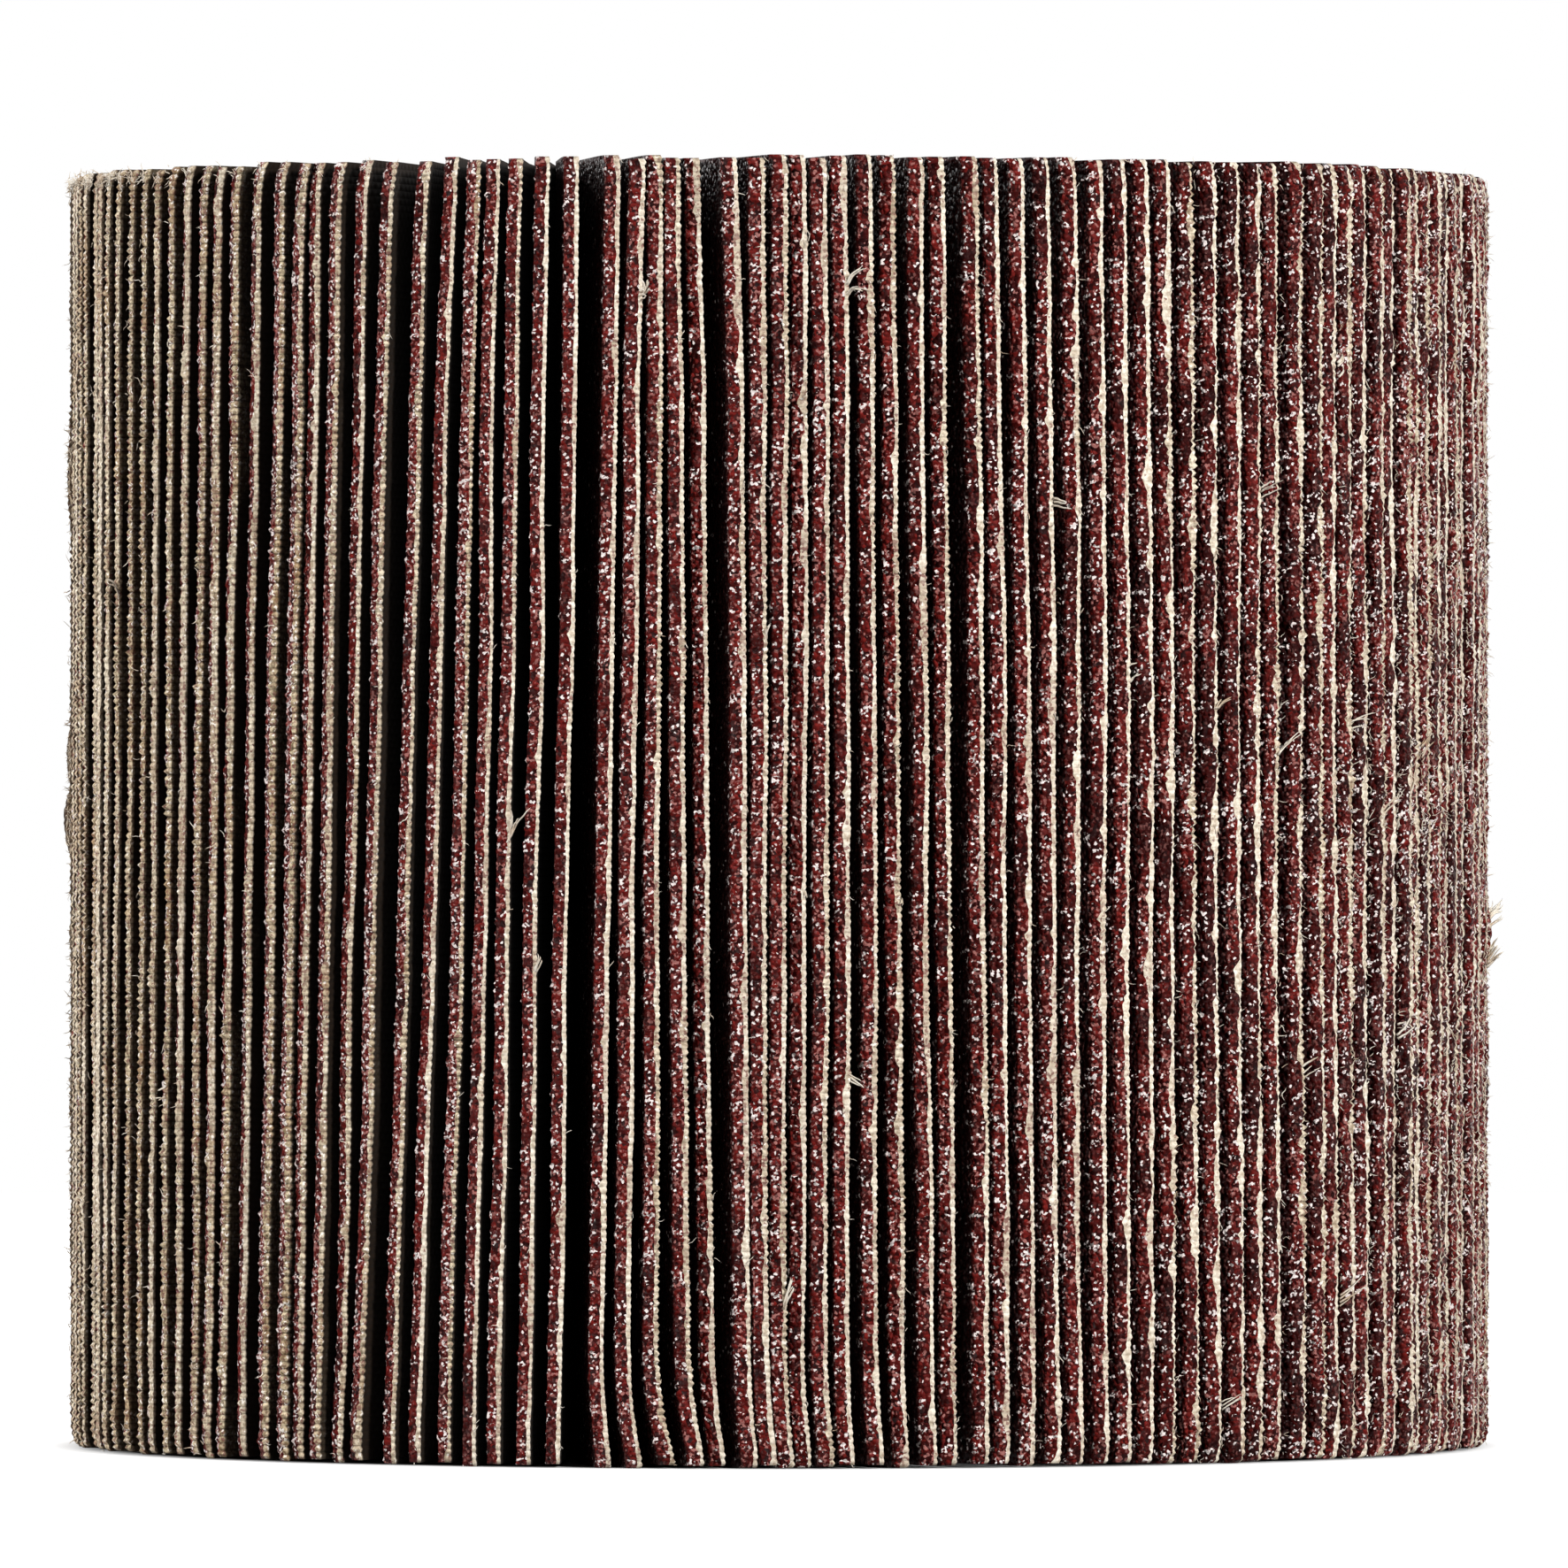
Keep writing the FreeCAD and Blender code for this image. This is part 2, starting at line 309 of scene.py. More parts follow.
def put(tree, kind, inputs=None, **settings):
    """Adds a node, sets it and feeds its inputs, given by name or number."""
    node = tree.nodes.new(kind)
    for key, value in settings.items():
        setattr(node, key, value)
    for key, value in (inputs or {}).items():
        feed(tree, node.inputs[key], value)
    return node


def maths(tree, operation, first, second=0.0, third=0.0):
    """The result of a sum on up to three numbers."""
    inputs = {0: first, 1: second, 2: third}
    return put(tree, "ShaderNodeMath", inputs, operation=operation).outputs[0]


def times(tree, first, second):
    """The product of two numbers."""
    return maths(tree, "MULTIPLY", first, second)


def larger(tree, first, second):
    """The larger of two numbers."""
    return maths(tree, "MAXIMUM", first, second)


def above(tree, value, limit):
    """1 where a value is over a limit, and 0 elsewhere."""
    return maths(tree, "GREATER_THAN", value, limit)


def vector_maths(tree, operation, first, second=(0.0, 0.0, 0.0)):
    """The outputs of a sum on two vectors."""
    inputs = {0: first, 1: second}
    return put(tree, "ShaderNodeVectorMath", inputs, operation=operation).outputs


def split(tree, vector):
    """A vector's three parts."""
    return put(tree, "ShaderNodeSeparateXYZ", {0: vector}).outputs


def fade(tree, value, start, end, low=0.0, high=1.0):
    """Value moved from start..end to low..high, and held at both ends."""
    inputs = {"Value": value, "From Min": start, "From Max": end, "To Min": low, "To Max": high}
    return put(tree, "ShaderNodeMapRange", inputs).outputs[0]


def spread(tree, share, low, high):
    """Low where a share is 0, and high where it is 1."""
    return fade(tree, share, 0.0, 1.0, low, high)


# The mixing node's sockets that work on colours
MIX_SHARE, MIX_FIRST, MIX_SECOND = 0, 6, 7
MIXED_COLOUR = 2


def tint(tree, share, first, second, blend_type="MIX"):
    """Two colours mixed by a share."""
    inputs = {MIX_SHARE: share, MIX_FIRST: first, MIX_SECOND: second}
    node = put(tree, "ShaderNodeMix", inputs, data_type="RGBA", blend_type=blend_type)
    return node.outputs[MIXED_COLOUR]


def cloud(tree, place, scale, detail, roughness):
    """Cloudy noise from 0 to 1, with about scale clouds to a metre."""
    inputs = {"Vector": place, "Scale": scale, "Detail": detail, "Roughness": roughness}
    return put(tree, "ShaderNodeTexNoise", inputs).outputs[0]


def new_effect(name, inputs, outputs):
    """An empty shader node group with named inputs and outputs."""
    group = bpy.data.node_groups.new(name, "ShaderNodeTree")
    for label, kind, value in inputs:
        socket = group.interface.new_socket(label, in_out="INPUT", socket_type=kind)
        if value is not None:
            socket.default_value = value
    for label in outputs:
        group.interface.new_socket(label, in_out="OUTPUT", socket_type=NUMBER)
    given = group.nodes.new("NodeGroupInput").outputs
    results = group.nodes.new("NodeGroupOutput").inputs
    return group, given, results


def use_effect(tree, group, **inputs):
    """A node group put to use with the given inputs, as its outputs."""
    node = put(tree, "ShaderNodeGroup", node_tree=group)
    feed_named(tree, node, **inputs)
    return node.outputs


NUMBER, VECTOR = "NodeSocketFloat", "NodeSocketVector"
# Share of the grains that show a glossy facet, and fineness of the cotton's fibres and
# of the mottle, to a metre
FACET_SHARE = 0.12
FIBRE_SCALE = 9000.0
MOTTLE_SCALE = 2500.0


def make_grit():
    """Faceted grains set in resin: relief, tone from grain to grain, and fine bright specks."""
    group, given, results = new_effect(
        "grit",
        (
            ("Place", VECTOR, None),
            ("Grain Size", NUMBER, 0.3 * MM),
            ("Speck Size", NUMBER, 0.14 * MM),
        ),
        ("Height", "Facet", "Tone", "Speck"),
    )
    place = given["Place"]
    scale = maths(group, "DIVIDE", 1.0, given["Grain Size"])
    cells = put(group, "ShaderNodeTexVoronoi", {"Vector": place, "Scale": scale}).outputs
    from_middle = vector_maths(group, "SUBTRACT", place, cells["Position"])[0]
    tilt = vector_maths(group, "SUBTRACT", cells["Color"], (0.5, 0.5, 0.5))[0]
    slope = vector_maths(group, "DOT_PRODUCT", from_middle, tilt)["Value"]
    slope = times(group, slope, scale)
    dome = maths(group, "SUBTRACT", 1.0, cells["Distance"])
    height = maths(group, "MULTIPLY_ADD", slope, 2.0, dome)
    parts = put(group, "ShaderNodeSeparateColor", {0: cells["Color"]}).outputs
    facet = above(group, parts[1], 1 - FACET_SHARE)
    scale = maths(group, "DIVIDE", 1.0, given["Speck Size"])
    fine = put(group, "ShaderNodeTexVoronoi", {"Vector": place, "Scale": scale}).outputs
    speck = put(group, "ShaderNodeSeparateColor", {0: fine["Color"]}).outputs[0]
    for label, value in zip(("Height", "Facet", "Tone", "Speck"), (height, facet, parts[2], speck)):
        feed(group, results[label], value)
    return group


def make_weave():
    """A plain weave over the cloth: its height, and a painted shade between its yarns."""
    group, given, results = new_effect(
        "weave",
        (("Place", VECTOR, None), ("Pitch", NUMBER, YARN_PITCH * MM)),
        ("Height", "Shade"),
    )
    parts = split(group, given["Place"])
    turn = maths(group, "DIVIDE", math.pi, given["Pitch"])
    along = maths(group, "SINE", times(group, parts[0], turn))
    over = maths(group, "SINE", times(group, parts[1], turn))
    crossing = times(group, along, over)
    ribs = maths(group, "ABSOLUTE", over)
    fibres = cloud(group, given["Place"], FIBRE_SCALE, 2.0, 0.6)
    height = maths(group, "MULTIPLY_ADD", crossing, 0.3, ribs)
    height = maths(group, "MULTIPLY_ADD", fibres, 0.5, height)
    feed(group, results["Height"], height)
    feed(group, results["Shade"], fade(group, ribs, 0.0, 0.55))
    return group


def make_soiling():
    """Patches of dirt and stain, and a fine mottle."""
    group, given, results = new_effect(
        "soiling",
        (("Place", VECTOR, None), ("Patch Size", NUMBER, 10 * MM)),
        ("Patch", "Mottle"),
    )
    scale = maths(group, "DIVIDE", 1.0, given["Patch Size"])
    patch = cloud(group, given["Place"], scale, 3.0, 0.6)
    mottle = cloud(group, given["Place"], MOTTLE_SCALE, 2.0, 0.6)
    feed(group, results["Patch"], fade(group, patch, 0.45, 0.7))
    feed(group, results["Mottle"], fade(group, mottle, 0.35, 0.65))
    return group


GRIT = make_grit()
WEAVE = make_weave()
SOILING = make_soiling()

# Colours of the grain
GRAIN_DARK = (0.014, 0.001, 0.001, 1)
GRAIN_RED = (0.21, 0.016, 0.013, 1)
# Painted shade down in the gap, also the dark of unworn grain
GRAIN_SHADED = (0.008, 0.001, 0.001, 1)
GRAIN_PINK = (0.42, 0.17, 0.15, 1)
# White broken grain, also used for painted glints
GRAIN_WHITE_AND_GLINT = (0.85, 0.75, 0.72, 1)
# Colours of the cloth and its fibres
CREAM_DIM = (0.52, 0.42, 0.31, 1)
CREAM = (0.93, 0.85, 0.72, 1)
CREAM_WORN = (0.5, 0.4, 0.29, 1)
TAN_DIM = (0.14, 0.1, 0.055, 1)
TAN = (0.78, 0.65, 0.44, 1)
CLOTH_STAIN = (0.34, 0.19, 0.085, 1)
CLOTH_GLINT = (0.9, 0.83, 0.74, 1)
CLOTH_PIT = (0.2, 0.08, 0.07, 1)
CLOTH_SHADED = (0.013, 0.008, 0.005, 1)
FIBRE_PALE = (0.78, 0.72, 0.62, 1)
FIBRE_SOILED = (0.5, 0.36, 0.24, 1)
# Colours of the resin and the nylon
RESIN_DARK = (0.075, 0.034, 0.014, 1)
RESIN_AMBER = (0.16, 0.09, 0.05, 1)
RESIN_DUST = (0.24, 0.16, 0.11, 1)
NYLON_BLACK = (0.014, 0.014, 0.015, 1)
NYLON_DUSTY = (0.034, 0.031, 0.028, 1)


def new_finish(name):
    """An empty material, its surface shader, and each point's place on the object."""
    finish = bpy.data.materials.new(name)
    finish.use_nodes = True
    tree = finish.node_tree
    tree.nodes.clear()
    surface = put(tree, "ShaderNodeBsdfPrincipled")
    output = put(tree, "ShaderNodeOutputMaterial")
    tree.links.new(surface.outputs[0], output.inputs["Surface"])
    place = put(tree, "ShaderNodeTexCoord").outputs["Object"]
    return finish, tree, surface, place


def roughen(tree, surface, height, reach):
    """Gives a surface the relief of a height, reach metres deep."""
    bump = put(tree, "ShaderNodeBump", {"Height": height, "Distance": reach, "Strength": 1.0})
    feed_named(tree, surface, Normal=bump.outputs[0])


def kept(tree, name, output="Fac"):
    """Numbers kept with the mesh's points."""
    return put(tree, "ShaderNodeAttribute", attribute_name=name).outputs[output]


def off_the_ends(tree):
    """1 on a flap's faces and tip, and 0 on its two cut ends, which face along the axis."""
    facing = put(tree, "ShaderNodeNewGeometry").outputs["True Normal"]
    return maths(tree, "LESS_THAN", maths(tree, "ABSOLUTE", split(tree, facing)[2]), 0.9)


def abrasive_finish():
    """Maroon grain under a glossy resin coat, worn pale along the tip."""
    finish, tree, surface, place = new_finish("maroon_abrasive")
    depth = split(tree, kept(tree, "lay", "Vector"))[0]
    wear = kept(tree, "wear")
    tone = kept(tree, "tone")
    shard = kept(tree, "grain")
    on_faces = off_the_ends(tree)
    grit = use_effect(tree, GRIT, Place=place, Grain_Size=0.36 * MM, Speck_Size=0.2 * MM)
    film = use_effect(tree, SOILING, Place=place, Patch_Size=1.3 * MM)
    # Red from grain to grain, with painted shade down in the gap, and darker where the tip is unworn
    redness = maths(tree, "POWER", grit["Tone"], 1.6)
    colour = tint(tree, redness, GRAIN_DARK, GRAIN_RED)
    painted_gap_shade = times(tree, fade(tree, depth, 0.12 * MM, 0.6 * MM, 0.0, 0.95), on_faces)
    unworn = fade(tree, wear, -1.2, -0.3, 0.75, 0.0)
    colour = tint(tree, larger(tree, painted_gap_shade, unworn), colour, GRAIN_SHADED)
    # Broken grain crowds along the tip, more so where it is worn or tanned
    near_tip = fade(tree, depth, 0.8 * MM, 0.1 * MM)
    crowd = times(tree, film["Patch"], fade(tree, wear, -0.5, 0.6, 0.3, 1.0))
    crowd = larger(tree, crowd, fade(tree, tone, 0.45, 1.0, 0.2, 1.0))
    crowd = times(tree, crowd, near_tip)
    pink = above(tree, grit["Speck"], spread(tree, crowd, 0.85, 0.45))
    pink = times(tree, pink, spread(tree, near_tip, 0.15, 0.8))
    pink = times(tree, pink, fade(tree, unworn, 0.0, 0.5, 1.0, 0.3))
    colour = tint(tree, pink, colour, GRAIN_PINK)
    # White specks: white broken grain and painted glints, most where shards stand out
    white_and_glint_from = spread(tree, crowd, 0.985, 0.8)
    white_and_glint_from = maths(tree, "SUBTRACT", white_and_glint_from, times(tree, shard, 0.4))
    colour = tint(tree, above(tree, grit["Speck"], white_and_glint_from), colour, GRAIN_WHITE_AND_GLINT)
    rough = spread(tree, grit["Tone"], 0.5, 0.28)
    rough = larger(tree, rough, spread(tree, on_faces, 0.85, 0.0))
    coat = times(tree, grit["Facet"], 0.15)
    feed_named(tree, surface, Base_Color=colour, Roughness=rough, Specular_IOR_Level=0.06)
    feed_named(tree, surface, Coat_Weight=coat, Coat_Roughness=0.1)
    roughen(tree, surface, grit["Height"], 0.28 * MM)
    return finish


def cloth_finish():
    """Unbleached cotton cloth, stained tan in places, with grain dust at its cut edge."""
    finish, tree, surface, place = new_finish("cotton_backing")
    lay = kept(tree, "lay", "Vector")
    depth = split(tree, lay)[0]
    wear = kept(tree, "wear")
    tone = kept(tree, "tone")
    weave = use_effect(tree, WEAVE, Place=lay)
    dirt = use_effect(tree, SOILING, Place=place, Patch_Size=4 * MM)
    grit = use_effect(tree, GRIT, Place=place, Grain_Size=0.4 * MM, Speck_Size=0.2 * MM)
    # From cream to tan, with stains
    cream = tint(tree, dirt["Mottle"], CREAM_DIM, CREAM)
    cream = tint(tree, fade(tree, wear, 0.0, 0.8, 0.0, 0.6), cream, CREAM_WORN)
    colour = tint(tree, tone, cream, tint(tree, dirt["Mottle"], TAN_DIM, TAN))
    stain = times(tree, dirt["Patch"], fade(tree, tone, 0.1, 1.0, 0.1, 0.6))
    colour = tint(tree, stain, colour, CLOTH_STAIN)
    # Bright specks on tanned cloth, white grain dust painted as glints, and dark pits of grain dust on
    # worn or tanned cloth
    glint = above(tree, grit["Speck"], spread(tree, tone, 1.0, 0.9))
    colour = tint(tree, glint, colour, CLOTH_GLINT)
    dusted = fade(tree, wear, 0.0, 0.8, 0.03, 0.4)
    dusted = larger(tree, dusted, spread(tree, tone, 0.0, 0.25))
    pit = maths(tree, "LESS_THAN", grit["Speck"], dusted)
    pit = times(tree, pit, fade(tree, grit["Tone"], 0.2, 0.8, 0.3, 0.85))
    colour = tint(tree, pit, colour, CLOTH_PIT)
    # Painted shade between the yarns, and down in the gap
    between = fade(tree, tone, 0.0, 0.9, 0.85, 0.5)
    colour = tint(tree, 1.0, colour, spread(tree, weave["Shade"], between, 1.0), "MULTIPLY")
    # Painted shade down in the gap, kept off the cut ends
    painted_gap_shade = times(tree, fade(tree, depth, 0.1 * MM, 0.4 * MM), off_the_ends(tree))
    painted_gap_shade = times(tree, painted_gap_shade, fade(tree, tone, 0.8, 1.0, 1.0, 0.85))
    colour = tint(tree, painted_gap_shade, colour, CLOTH_SHADED)
    feed_named(tree, surface, Base_Color=colour, Roughness=0.92, Specular_IOR_Level=0.05)
    feed_named(tree, surface, Sheen_Weight=0.02, Sheen_Roughness=0.5)
    roughen(tree, surface, weave["Height"], 0.07 * MM)
    return finish


def fibre_finish():
    """Loose cotton fibre, off-white."""
    finish, tree, surface, place = new_finish("cotton_fibre")
    dirt = use_effect(tree, SOILING, Place=place, Patch_Size=2 * MM)
    colour = tint(tree, dirt["Patch"], FIBRE_PALE, FIBRE_SOILED)
    feed_named(tree, surface, Base_Color=colour, Roughness=0.8, Specular_IOR_Level=0.3)
    roughen(tree, surface, dirt["Mottle"], 0.02 * MM)
    return finish


def resin_finish():
    """Cast resin, dark amber, with a film of dust."""
    finish, tree, surface, place = new_finish("cast_resin")
    film = use_effect(tree, SOILING, Place=place, Patch_Size=6 * MM)
    colour = tint(tree, film["Patch"], RESIN_DARK, RESIN_AMBER)
    colour = tint(tree, times(tree, film["Mottle"], 0.2), colour, RESIN_DUST)
    rough = spread(tree, film["Mottle"], 0.6, 0.8)
    feed_named(tree, surface, Base_Color=colour, Roughness=rough, Specular_IOR_Level=0.15)
    roughen(tree, surface, cloud(tree, place, 700.0, 3.0, 0.55), 0.4 * MM)
    return finish


def sleeve_finish():
    """Black moulded nylon with a fine spark-eroded grain."""
    finish, tree, surface, place = new_finish("moulded_nylon")
    film = use_effect(tree, SOILING, Place=place, Patch_Size=10 * MM)
    colour = tint(tree, film["Patch"], NYLON_BLACK, NYLON_DUSTY)
    rough = spread(tree, film["Mottle"], 0.7, 0.85)
    feed_named(tree, surface, Base_Color=colour, Roughness=rough, Specular_IOR_Level=0.1)
    roughen(tree, surface, cloud(tree, place, 3500.0, 2.0, 0.6), 0.06 * MM)
    return finish


ABRASIVE = abrasive_finish()
CLOTH = cloth_finish()
RESIN = resin_finish()
NYLON = sleeve_finish()

# A flap's section near its tip, from the abrasive face over the tip to the cloth
# back: depth below the tip, and offset from the flap's middle to its cloth side
HALF = FLAP_THICK / 2
CAP = (
    (1.5, -HALF),
    (0.4, -HALF),
    (0.05, -HALF + 0.04),
    (0.02, CLOTH_STARTS),
    (0.04, HALF - 0.02),
    (1.5, HALF),
)
FACE_IN, GRAIN_FACE, GRAIN_EDGE, LAYERS_MEET, YARN_ENDS, BACK_IN = range(6)
AT_TIP = slice(GRAIN_FACE, YARN_ENDS + 1)
# Depths of the plain faces below it, down to the root
BODY_DEPTHS = (3.2, 12.0, 22.4, 24.6, 26.8)
# How the tips are worn: length and drop of the rounding at both ends, how far short
# the shortest flap is, and what chips take off the grain's edge, inward and down
CORNER_WEAR = 2.0
CORNER_DROP = 0.7
SHORTEST = 0.5
CHIP_IN = 0.12
CHIP_DOWN = 0.15
# Shards that stand out of the grain: their share of its points, and their reach out
# of the face and up over the tip
SHARD_SHARE = 0.13
SHARD_OUT = 0.12
SHARD_UP = 0.08
# How far single points stray, and how far each yarn's end stands up and out
STRAY = 0.06
END_UP = 0.05
END_OUT = 0.04


def swelling():
    """How far the cloth has swelled out past the rim, by flap and row, in millimetres."""
    reach = np.zeros(lying.shape)
    for azimuth, height, wide, tall, most in SWELLS:
        apart = ((lying - azimuth) / wide) ** 2 + ((row_heights - height) / tall) ** 2
        reach += most * np.exp(-(apart**2))
    uneven = np.random.default_rng(seed=17).uniform(0.35, 1.0, FLAP_COUNT)[:, None]
    return reach * uneven * (0.9 + 0.1 * soft_noise(18, 1, 5))


# How tan each flap has gone along its tip, with the swelled cloth a little paler
swells = swelling()
tones = follow(lying, TANNED) + 0.3 * soft_noise(13, 1, 40)
tones += np.random.default_rng(seed=5).uniform(-0.3, 0.3, FLAP_COUNT)[:, None]
tones = np.clip(tones - 0.7 * swells, 0, 1)


def cap_grid():
    """Places of every cap point, by flap, row and place in the section.

    Gives the depth along the cloth, the depth and offset the point has, how worn the
    tip is there, and which points are shards."""
    shape = (FLAP_COUNT, ROW_COUNT, len(CAP))
    grid = shape[:2]
    depth = np.ones(shape) * [d for d, _ in CAP]
    across = np.ones(shape) * [a for _, a in CAP]
    rng = np.random.default_rng(seed=7)
    # Yarn ends stand up on every other row, most where the cloth is tan
    bumps = np.where(np.arange(ROW_COUNT) % 2 == 1, 1.0, -1.0) * rng.uniform(0.2, 1.4, grid)
    bumps *= (0.6 + 1.8 * tones) / (1 + 4 * swells)
    ragged = follow(lying, RAGGED)
    frayed = np.clip(soft_noise(11, 1, 9) + ragged - 0.75, 0, 1)
    clumped = soft_noise(14, 1, 5) + 0.8 * ragged - 0.9
    clumped = np.clip(2.4 * clumped, 0, 1) * rng.uniform(0.5, 1.0, grid)
    slimmed = follow(lying, SLIMMED)
    worn = soft_noise(12, 1, 14)
    chipped = np.clip(worn - 0.5, 0, 1) * 2
    # The grain's face and edge
    shards = np.zeros(shape)
    shards[..., GRAIN_FACE] = rng.random(grid) < SHARD_SHARE
    shards[..., GRAIN_EDGE] = rng.random(grid) < SHARD_SHARE
    across -= SHARD_OUT * shards * rng.uniform(0.4, 1.3, shape)
    depth[..., GRAIN_EDGE] -= SHARD_UP * shards[..., GRAIN_EDGE]
    across[..., GRAIN_EDGE] += rng.uniform(-STRAY, STRAY, grid) + CHIP_IN * chipped
    across[..., GRAIN_EDGE] += slimmed - 0.05 * tones * bumps
    depth[..., GRAIN_EDGE] += rng.uniform(0, 0.14, grid) + CHIP_DOWN * chipped + slimmed
    across[..., GRAIN_FACE] += rng.uniform(-STRAY, 0.03, grid)
    depth[..., GRAIN_FACE] += rng.uniform(-0.1, 0.1, grid)
    # The line where grain and cloth meet, which loose cotton moves over the grain
    meet = follow(lying, CLOTH_FROM) + STRAY * rng.uniform(-1, 1, grid)
    meet += 0.24 * ragged * soft_noise(16, 1, 7)
    meet -= 0.2 * chipped + 0.12 * frayed * rng.random(grid) + 0.45 * clumped + 1.3 * swells
    across[..., LAYERS_MEET] = np.maximum(meet, across[..., GRAIN_EDGE] + 0.03)
    depth[..., LAYERS_MEET] += 0.08 * rng.random(grid) - END_UP * bumps
    depth[..., LAYERS_MEET] -= frayed * rng.uniform(0.05, 0.2, grid) + 0.08 * clumped
    # The yarns' cut ends at the cloth's back
    ends = HALF - 0.02 + END_OUT * bumps + frayed * rng.uniform(-0.1, 0.06, grid) + 0.35 * swells
    across[..., YARN_ENDS] = np.maximum(ends, across[..., LAYERS_MEET] + 0.05)
    depth[..., YARN_ENDS] += 0.08 * rng.random(grid) - END_UP * bumps
    depth[..., YARN_ENDS] -= frayed * rng.uniform(0.05, 0.25, grid) + 0.1 * clumped
    # Short flaps, swelled cloth and worn corners
    short = SHORTEST * rng.random(FLAP_COUNT) ** 2
    depth[..., AT_TIP] += short[:, None, None]
    swelled = swells * rng.uniform(0.88, 1.0, grid)
    depth[..., AT_TIP] -= swelled[..., None]
    from_end = np.minimum(row_heights, WHEEL_WIDTH - row_heights)
    near = np.clip(1 - from_end / CORNER_WEAR, 0, 1)
    rounding = CORNER_DROP * (1 - np.sqrt(1 - near**2 * 0.98))
    laid = depth.copy()
    laid[..., AT_TIP] -= short[:, None, None]
    return laid, depth + rounding[..., None], across, worn - follow(lying, KEPT_GRAIN), shards


cloth_depth, cap_depth, cap_across, tip_wear, tip_shards = cap_grid()
PANEL_ROWS = np.arange(0, ROW_COUNT, ROWS_PER_PANEL)
PANELS = len(PANEL_ROWS) - 1


def flap_faces():
    """One flap's faces by layer: the abrasive's and the cloth's, as lists of point numbers."""
    caps, body = len(CAP), len(BODY_DEPTHS)
    side_start = (ROW_COUNT * caps, ROW_COUNT * caps + (PANELS + 1) * body)
    middle_start = side_start[1] + (PANELS + 1) * body

    def cap(row, place):
        """A point of the cap."""
        return row * caps + place

    def side(which, panel, place):
        """A point of the abrasive face or the cloth back, which is 0 or 1."""
        return side_start[which] + panel * body + place

    def middle(end, place):
        """A point on the line between the layers at one cut end."""
        return middle_start + end * (body + 1) + place

    abrasive, cloth = [], []
    # The cap, over the tip
    for row in range(ROW_COUNT - 1):
        for place in range(caps - 1):
            after = place + 1
            face = [cap(row, place), cap(row, after), cap(row + 1, after), cap(row + 1, place)]
            (abrasive if place < LAYERS_MEET else cloth).append(face)
    # Both faces: a fan from each panel's corners up to the cap, then plain panels
    for which, edge, faces in ((0, FACE_IN, abrasive), (1, BACK_IN, cloth)):
        for panel in range(PANELS):
            first = panel * ROWS_PER_PANEL
            half = first + ROWS_PER_PANEL // 2
            last = first + ROWS_PER_PANEL
            low, high = side(which, panel, 0), side(which, panel + 1, 0)
            fan = [[low, cap(row, edge), cap(row + 1, edge)] for row in range(first, half)]
            fan.append([low, cap(half, edge), high])
            fan += [[high, cap(row, edge), cap(row + 1, edge)] for row in range(half, last)]
            for place in range(body - 1):
                low, high = side(which, panel, place), side(which, panel + 1, place)
                fan.append([low + 1, low, high, high + 1])
            faces += fan if which == 0 else [face[::-1] for face in fan]
    # The root, in the resin
    last = body - 1
    for panel in range(PANELS):
        root = [side(0, panel, last), side(0, panel + 1, last)]
        root += [middle(1, body)] if panel == PANELS - 1 else []
        root += [side(1, panel + 1, last), side(1, panel, last)]
        root += [middle(0, body)] if panel == 0 else []
        cloth.append(root)
    # The two cut ends, split along the line between the layers
    for end, panel, row in ((0, 0, 0), (1, PANELS, ROW_COUNT - 1)):
        centre = [middle(end, place) for place in range(body + 1)]
        meet = cap(row, LAYERS_MEET)
        for which, edge, faces in ((0, FACE_IN, abrasive), (1, BACK_IN, cloth)):
            outer = [cap(row, edge)] + [side(which, panel, place) for place in range(body)]
            cut = [
                [outer[place], outer[place + 1], centre[place + 1], centre[place]]
                for place in range(body)
            ]
            corner = [cap(row, GRAIN_EDGE), cap(row, GRAIN_FACE)] if which == 0 else [cap(row, YARN_ENDS)]
            cut.append(corner + [cap(row, edge), centre[0], meet])
            turned = (which == 1) != (end == 1)
            faces += [face[::-1] if turned else face for face in cut]
    return abrasive, cloth


def in_cloth(depth, row, across):
    """The lay of points in their flap: depth, place along the cloth and offset."""
    return np.stack(np.broadcast_arrays(depth, row * YARN_PITCH / 2, across), -1).reshape(-1, 3)


def flap_mesh_points(flap):
    """One flap's points, with their lay in the cloth."""
    rows = np.arange(ROW_COUNT)[:, None]
    points = [to_wheel(flap, rows, cap_depth[flap], cap_across[flap])]
    lays = [in_cloth(cloth_depth[flap], rows, cap_across[flap])]
    depths = np.array(BODY_DEPTHS)[None, :]
    panel_rows = PANEL_ROWS[:, None]
    for offset in (-HALF, HALF):
        points.append(to_wheel(flap, panel_rows, depths, offset + 0 * depths))
        lays.append(in_cloth(depths, panel_rows, offset))
    for row in (0, ROW_COUNT - 1):
        inner = np.array([cap_depth[flap, row, FACE_IN], *BODY_DEPTHS])
        points.append(to_wheel(flap, np.full(len(inner), row), inner, CLOTH_STARTS + 0 * inner))
        lays.append(in_cloth(inner, row, CLOTH_STARTS))
    return np.concatenate([part.reshape(-1, 3) for part in points]), np.concatenate(lays)


